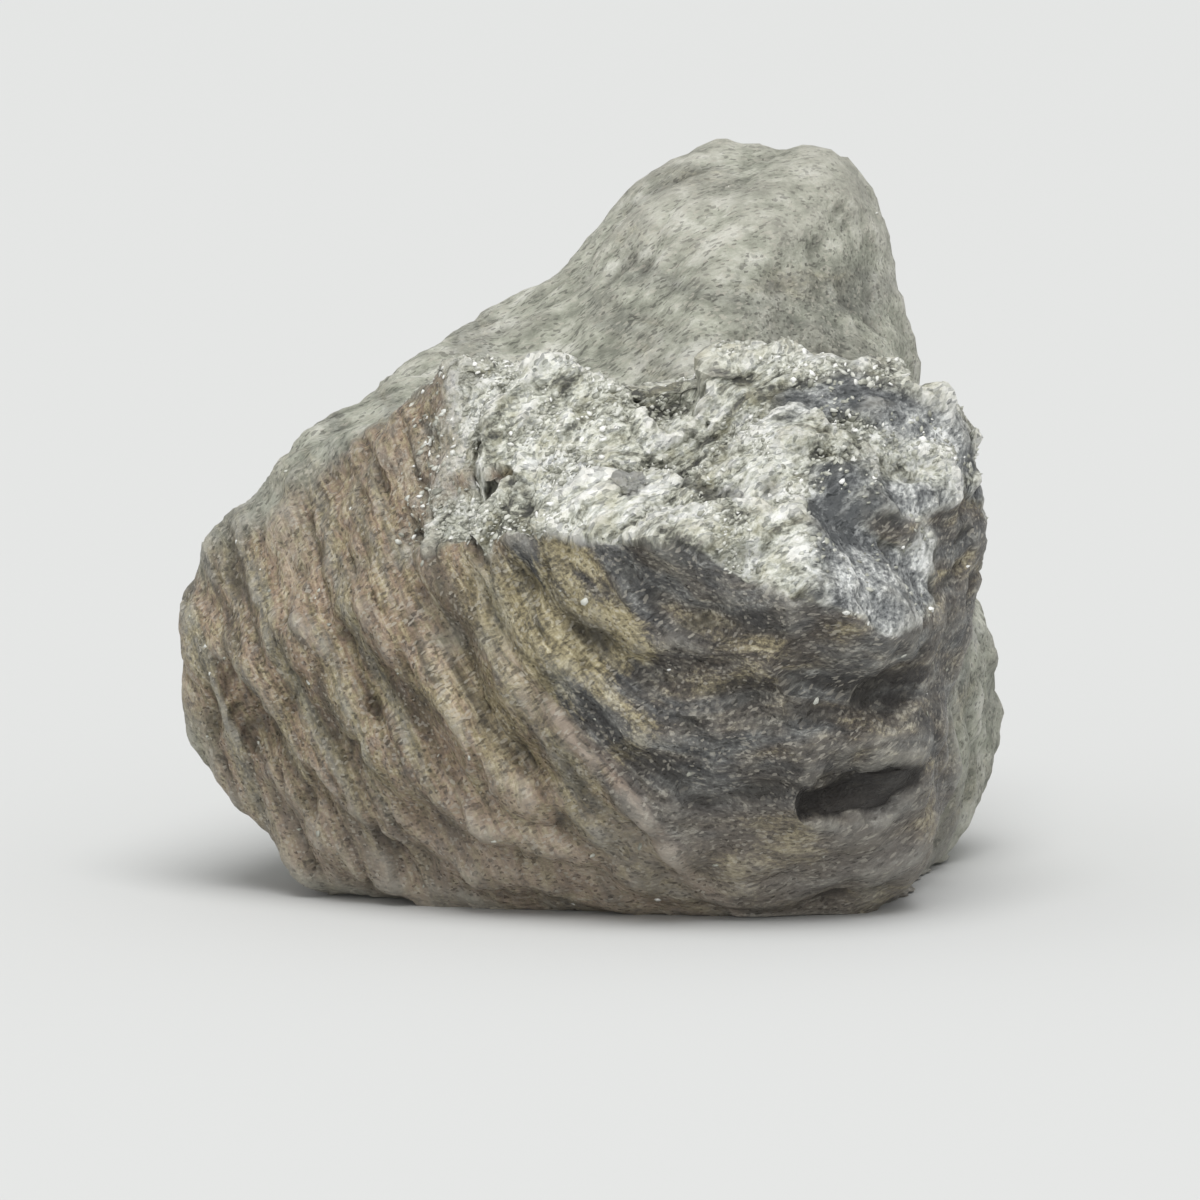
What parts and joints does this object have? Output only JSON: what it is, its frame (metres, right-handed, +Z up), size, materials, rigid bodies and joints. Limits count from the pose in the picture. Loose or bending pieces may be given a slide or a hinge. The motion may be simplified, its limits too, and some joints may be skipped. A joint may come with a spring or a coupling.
{
  "type": "rough emerald stone",
  "caption": "Rough lump of emerald-bearing mica schist with a split, glittering top face, ridged broken front and worn rear lobe, resting on a flat face.",
  "frame": {"origin": "middle of the stone's box, on the surface that it rests on", "axes": "+Z up, +Y from the broken front to the worn rear lobe, +X to the right of someone who looks at the front"},
  "size_m": [0.0434, 0.05, 0.038],
  "materials": {
    "schist": "rough broken schist, grey-green with brown and mauve bands, glittering with mica where it has split"
  },
  "bodies": {
    "root": {"rough_emerald": "schist"}
  },
  "joints": []
}
